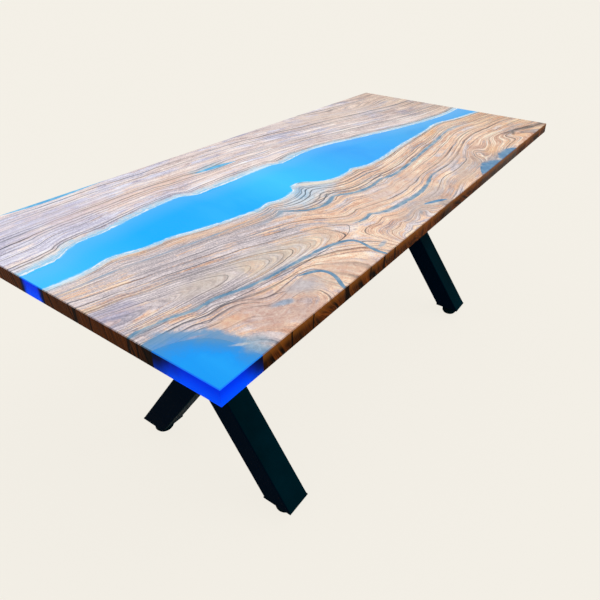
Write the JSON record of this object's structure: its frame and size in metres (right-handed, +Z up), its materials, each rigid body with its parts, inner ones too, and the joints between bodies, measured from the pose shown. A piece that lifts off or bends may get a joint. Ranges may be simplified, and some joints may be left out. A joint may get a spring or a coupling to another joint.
{
  "type": "river table",
  "caption": "Dining table with live-edge wood slabs joined by a winding band of blue resin, on black steel X-frames with screw-in levelling feet.",
  "frame": {"origin": "on the floor under the middle of the top", "axes": "+X along the length towards the end with the narrow river mouth, +Y to the back long side, +Z up"},
  "size_m": [1.8, 0.84, 0.78],
  "materials": {
    "slab_wood": "satin oil and lacquer",
    "blue_resin": "polished tinted casting resin",
    "frame_steel": "satin black powder coat",
    "fastener_steel": "black oxide",
    "insert_brass": "plain turned",
    "foot_steel": "zinc plated",
    "foot_pad": "black coating",
    "foot_rubber": "matt rubber"
  },
  "bodies": {
    "table": {"back_pocket_resin": "blue_resin", "back_slab": "slab_wood", "back_sliver_resin": "blue_resin", "bank_crack_resin": "blue_resin", "bay_crack_resin": "blue_resin", "corner_pocket_resin": "blue_resin", "far_back_foot_bush": "foot_steel", "far_back_foot_plate": "frame_steel", "far_crack_resin": "blue_resin", "far_frame_bolts": "fastener_steel", "far_frame_inserts": "insert_brass", "far_frame_washers": "fastener_steel", "far_front_foot_bush": "foot_steel", "far_front_foot_plate": "frame_steel", "far_lower_half_leg": "frame_steel", "far_mount_plate": "frame_steel", "far_pocket_resin": "blue_resin", "far_through_leg": "frame_steel", "far_upper_half_leg": "frame_steel", "front_slab": "slab_wood", "long_crack_resin": "blue_resin", "middle_pocket_resin": "blue_resin", "near_back_foot_bush": "foot_steel", "near_back_foot_plate": "frame_steel", "near_frame_bolts": "fastener_steel", "near_frame_inserts": "insert_brass", "near_frame_washers": "fastener_steel", "near_front_foot_bush": "foot_steel", "near_front_foot_plate": "frame_steel", "near_lower_half_leg": "frame_steel", "near_mount_plate": "frame_steel", "near_through_leg": "frame_steel", "near_upper_half_leg": "frame_steel", "river_resin": "blue_resin"},
    "near_front_foot": {"near_front_foot_sole": "foot_rubber", "near_front_foot_pad": "foot_pad"},
    "near_front_stud": {"near_front_foot_stud": "foot_steel"},
    "near_back_foot": {"near_back_foot_sole": "foot_rubber", "near_back_foot_pad": "foot_pad"},
    "near_back_stud": {"near_back_foot_stud": "foot_steel"},
    "far_front_foot": {"far_front_foot_sole": "foot_rubber", "far_front_foot_pad": "foot_pad"},
    "far_front_stud": {"far_front_foot_stud": "foot_steel"},
    "far_back_foot": {"far_back_foot_sole": "foot_rubber", "far_back_foot_pad": "foot_pad"},
    "far_back_stud": {"far_back_foot_stud": "foot_steel"}
  },
  "joints": [
    {"name": "near_front_foot_travel", "type": "slide", "parent": "table", "child": "near_front_foot", "axis": [0, 0, -1], "range_m": [0, 0.012]},
    {"name": "near_front_stud_turn", "type": "hinge", "parent": "near_front_foot", "child": "near_front_stud", "pos_m": [-0.56, -0.247, 0.027], "axis": [0, 0, -1], "range_deg": [0, 2880]},
    {"name": "near_back_foot_travel", "type": "slide", "parent": "table", "child": "near_back_foot", "axis": [0, 0, -1], "range_m": [0, 0.012]},
    {"name": "near_back_stud_turn", "type": "hinge", "parent": "near_back_foot", "child": "near_back_stud", "pos_m": [-0.56, 0.247, 0.027], "axis": [0, 0, -1], "range_deg": [0, 2880]},
    {"name": "far_front_foot_travel", "type": "slide", "parent": "table", "child": "far_front_foot", "axis": [0, 0, -1], "range_m": [0, 0.012]},
    {"name": "far_front_stud_turn", "type": "hinge", "parent": "far_front_foot", "child": "far_front_stud", "pos_m": [0.56, -0.247, 0.027], "axis": [0, 0, -1], "range_deg": [0, 2880]},
    {"name": "far_back_foot_travel", "type": "slide", "parent": "table", "child": "far_back_foot", "axis": [0, 0, -1], "range_m": [0, 0.012]},
    {"name": "far_back_stud_turn", "type": "hinge", "parent": "far_back_foot", "child": "far_back_stud", "pos_m": [0.56, 0.247, 0.027], "axis": [0, 0, -1], "range_deg": [0, 2880]}
  ],
  "couplings": [
    {"joint": "near_front_stud_turn", "follows": "near_front_foot_travel", "rad_per_m": 4188.8},
    {"joint": "near_back_stud_turn", "follows": "near_back_foot_travel", "rad_per_m": 4188.8},
    {"joint": "far_front_stud_turn", "follows": "far_front_foot_travel", "rad_per_m": 4188.8},
    {"joint": "far_back_stud_turn", "follows": "far_back_foot_travel", "rad_per_m": 4188.8}
  ]
}
